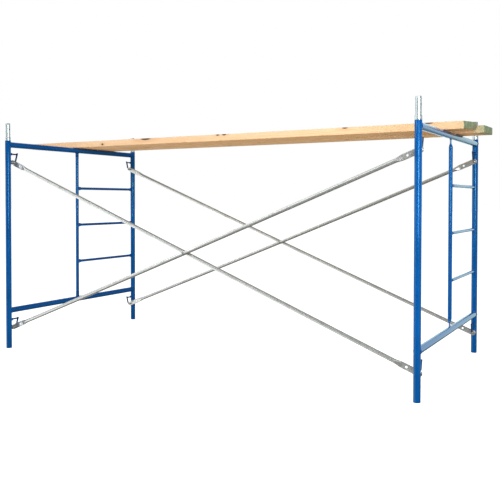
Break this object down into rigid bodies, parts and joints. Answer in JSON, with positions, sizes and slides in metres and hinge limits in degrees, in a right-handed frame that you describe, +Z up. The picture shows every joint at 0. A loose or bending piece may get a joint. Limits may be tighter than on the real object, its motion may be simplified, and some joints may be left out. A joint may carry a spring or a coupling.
{
  "type": "frame scaffold bay",
  "caption": "Bay of welded tubular frame scaffold with half-width ladders, riveted cross braces on locking studs, coupling pins in the leg tops and timber planks on the top rails.",
  "frame": {"origin": "on the floor, under the centre of the whole bounding box, planks included", "axes": "+X along the bay from the left frame to the right frame, +Y across it towards the side that holds the rungs, +Z up"},
  "size_m": [3.7211, 1.5218, 1.6513],
  "materials": {
    "blue_paint": "satin",
    "galvanised": "galvanised, dull",
    "zinc": "zinc plated, satin",
    "timber": "rough sawn, green painted ends"
  },
  "bodies": {
    "bay": {"bottom_rail_left": "blue_paint", "bottom_rail_right": "blue_paint", "brace_rivet_far": "zinc", "brace_rivet_near": "zinc", "brace_stud_left_far_lower": "zinc", "brace_stud_left_far_upper": "zinc", "brace_stud_left_near_lower": "zinc", "brace_stud_left_near_upper": "zinc", "brace_stud_right_far_lower": "zinc", "brace_stud_right_far_upper": "zinc", "brace_stud_right_near_lower": "zinc", "brace_stud_right_near_upper": "zinc", "cross_brace_far_falling": "galvanised", "cross_brace_far_rising": "galvanised", "cross_brace_near_falling": "galvanised", "cross_brace_near_rising": "galvanised", "ladder_stile_left": "blue_paint", "ladder_stile_right": "blue_paint", "leg_left_far": "blue_paint", "leg_left_near": "blue_paint", "leg_right_far": "blue_paint", "leg_right_near": "blue_paint", "lock_bracket_left_far_lower": "blue_paint", "lock_bracket_left_far_upper": "blue_paint", "lock_bracket_left_near_lower": "blue_paint", "lock_bracket_left_near_upper": "blue_paint", "lock_bracket_right_far_lower": "blue_paint", "lock_bracket_right_far_upper": "blue_paint", "lock_bracket_right_near_lower": "blue_paint", "lock_bracket_right_near_upper": "blue_paint", "rung_left_1": "blue_paint", "rung_left_2": "blue_paint", "rung_left_3": "blue_paint", "rung_right_1": "blue_paint", "rung_right_2": "blue_paint", "rung_right_3": "blue_paint", "top_rail_left": "blue_paint", "top_rail_right": "blue_paint"},
    "lock_left_near_lower": {"brace_lock_left_near_lower": "blue_paint"},
    "lock_left_near_upper": {"brace_lock_left_near_upper": "blue_paint"},
    "lock_left_far_lower": {"brace_lock_left_far_lower": "blue_paint"},
    "lock_left_far_upper": {"brace_lock_left_far_upper": "blue_paint"},
    "lock_right_near_lower": {"brace_lock_right_near_lower": "blue_paint"},
    "lock_right_near_upper": {"brace_lock_right_near_upper": "blue_paint"},
    "lock_right_far_lower": {"brace_lock_right_far_lower": "blue_paint"},
    "lock_right_far_upper": {"brace_lock_right_far_upper": "blue_paint"},
    "pin_left_near": {"coupling_pin_left_near": "zinc"},
    "pin_left_far": {"coupling_pin_left_far": "zinc"},
    "pin_right_near": {"coupling_pin_right_near": "zinc"},
    "pin_right_far": {"coupling_pin_right_far": "zinc"},
    "deck_near": {"plank_near": "timber"},
    "deck_far": {"plank_far": "timber"}
  },
  "joints": [
    {"name": "lock_turn_left_near_lower", "type": "hinge", "parent": "bay", "child": "lock_left_near_lower", "pos_m": [-1.38285, -0.7405, 0.208], "axis": [0, 1, 0], "range_deg": [-150, 150]},
    {"name": "lock_turn_left_near_upper", "type": "hinge", "parent": "bay", "child": "lock_left_near_upper", "pos_m": [-1.38285, -0.7405, 1.4272], "axis": [0, 1, 0], "range_deg": [-150, 150]},
    {"name": "lock_turn_left_far_lower", "type": "hinge", "parent": "bay", "child": "lock_left_far_lower", "pos_m": [-1.38285, 0.7405, 0.208], "axis": [0, 1, 0], "range_deg": [-150, 150]},
    {"name": "lock_turn_left_far_upper", "type": "hinge", "parent": "bay", "child": "lock_left_far_upper", "pos_m": [-1.38285, 0.7405, 1.4272], "axis": [0, 1, 0], "range_deg": [-150, 150]},
    {"name": "lock_turn_right_near_lower", "type": "hinge", "parent": "bay", "child": "lock_right_near_lower", "pos_m": [1.66515, -0.7405, 0.208], "axis": [0, 1, 0], "range_deg": [-150, 150]},
    {"name": "lock_turn_right_near_upper", "type": "hinge", "parent": "bay", "child": "lock_right_near_upper", "pos_m": [1.66515, -0.7405, 1.4272], "axis": [0, 1, 0], "range_deg": [-150, 150]},
    {"name": "lock_turn_right_far_lower", "type": "hinge", "parent": "bay", "child": "lock_right_far_lower", "pos_m": [1.66515, 0.7405, 0.208], "axis": [0, 1, 0], "range_deg": [-150, 150]},
    {"name": "lock_turn_right_far_upper", "type": "hinge", "parent": "bay", "child": "lock_right_far_upper", "pos_m": [1.66515, 0.7405, 1.4272], "axis": [0, 1, 0], "range_deg": [-150, 150]},
    {"name": "pin_lift_left_near", "type": "slide", "parent": "bay", "child": "pin_left_near", "axis": [0, 0, 1], "range_m": [0, 0.12]},
    {"name": "pin_lift_left_far", "type": "slide", "parent": "bay", "child": "pin_left_far", "axis": [0, 0, 1], "range_m": [0, 0.12]},
    {"name": "pin_lift_right_near", "type": "slide", "parent": "bay", "child": "pin_right_near", "axis": [0, 0, 1], "range_m": [0, 0.12]},
    {"name": "pin_lift_right_far", "type": "slide", "parent": "bay", "child": "pin_right_far", "axis": [0, 0, 1], "range_m": [0, 0.12]},
    {"name": "plank_lift_near", "type": "slide", "parent": "bay", "child": "deck_near", "axis": [0, 0, 1], "range_m": [0, 0.2]},
    {"name": "plank_lift_far", "type": "slide", "parent": "bay", "child": "deck_far", "axis": [0, 0, 1], "range_m": [0, 0.2]}
  ]
}
